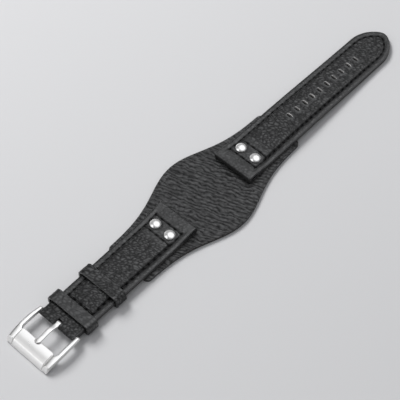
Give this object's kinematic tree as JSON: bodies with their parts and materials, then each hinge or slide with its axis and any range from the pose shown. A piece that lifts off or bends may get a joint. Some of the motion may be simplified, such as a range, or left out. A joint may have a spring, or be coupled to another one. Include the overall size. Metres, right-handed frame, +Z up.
{
  "type": "watch strap",
  "caption": "Padded leather watch strap riveted to a wide leather cuff pad, with folded lug tunnels, a rounded tip with oblong holes, two keepers and a steel tang buckle.",
  "frame": {"origin": "middle of the underside of the cuff pad, on the surface that the strap lies on", "axes": "+X along the strap, from the buckle towards the tip with the holes; +Y across it; +Z up, out of the pad"},
  "size_m": [0.2448, 0.0456, 0.0066],
  "materials": {
    "black_leather": "pebbled, satin",
    "lining_leather": "smooth, matt",
    "padding": "felt",
    "polished_steel": "polished steel",
    "chrome": "polished"
  },
  "bodies": {
    "strap": {"pad_upper": "black_leather", "pad_lining": "lining_leather", "tip_half_upper": "black_leather", "tip_half_padding": "padding", "tip_half_lining": "lining_leather", "tip_half_rivets": "chrome", "tip_half_rivet_caps": "chrome", "buckle_half_upper": "black_leather", "buckle_half_padding": "padding", "buckle_half_lining": "lining_leather", "buckle_half_rivets": "chrome", "buckle_half_rivet_caps": "chrome", "fixed_keeper": "black_leather", "spring_bar_barrel": "polished_steel", "spring_bar_spring": "polished_steel"},
    "free_keeper": {"free_keeper": "black_leather"},
    "buckle_frame": {"buckle_frame": "polished_steel"},
    "tang": {"tang": "polished_steel"},
    "spring_bar_tip_left": {"spring_bar_tip_left": "polished_steel"},
    "spring_bar_tip_right": {"spring_bar_tip_right": "polished_steel"}
  },
  "joints": [
    {"name": "buckle_pivot", "type": "hinge", "parent": "strap", "child": "buckle_frame", "pos_m": [-0.09375, 0, 0.00335], "axis": [0, 1, 0], "range_deg": [-75, 35]},
    {"name": "tang_pivot", "type": "hinge", "parent": "buckle_frame", "child": "tang", "pos_m": [-0.09375, 0, 0.00335], "axis": [0, 1, 0], "range_deg": [0, 60]},
    {"name": "free_keeper_slide", "type": "slide", "parent": "strap", "child": "free_keeper", "axis": [1, 0, 0], "range_m": [-0.0116, 0.0116]},
    {"name": "spring_bar_tip_left_slide", "type": "slide", "parent": "strap", "child": "spring_bar_tip_left", "axis": [0, -1, 0], "range_m": [0, 0.0012], "stiffness_N_per_m": 300, "springref_m": -0.001, "deforming": ["spring_bar_spring"]},
    {"name": "spring_bar_tip_right_slide", "type": "slide", "parent": "strap", "child": "spring_bar_tip_right", "axis": [0, 1, 0], "range_m": [0, 0.0012], "stiffness_N_per_m": 300, "springref_m": -0.001, "deforming": ["spring_bar_spring"]}
  ]
}
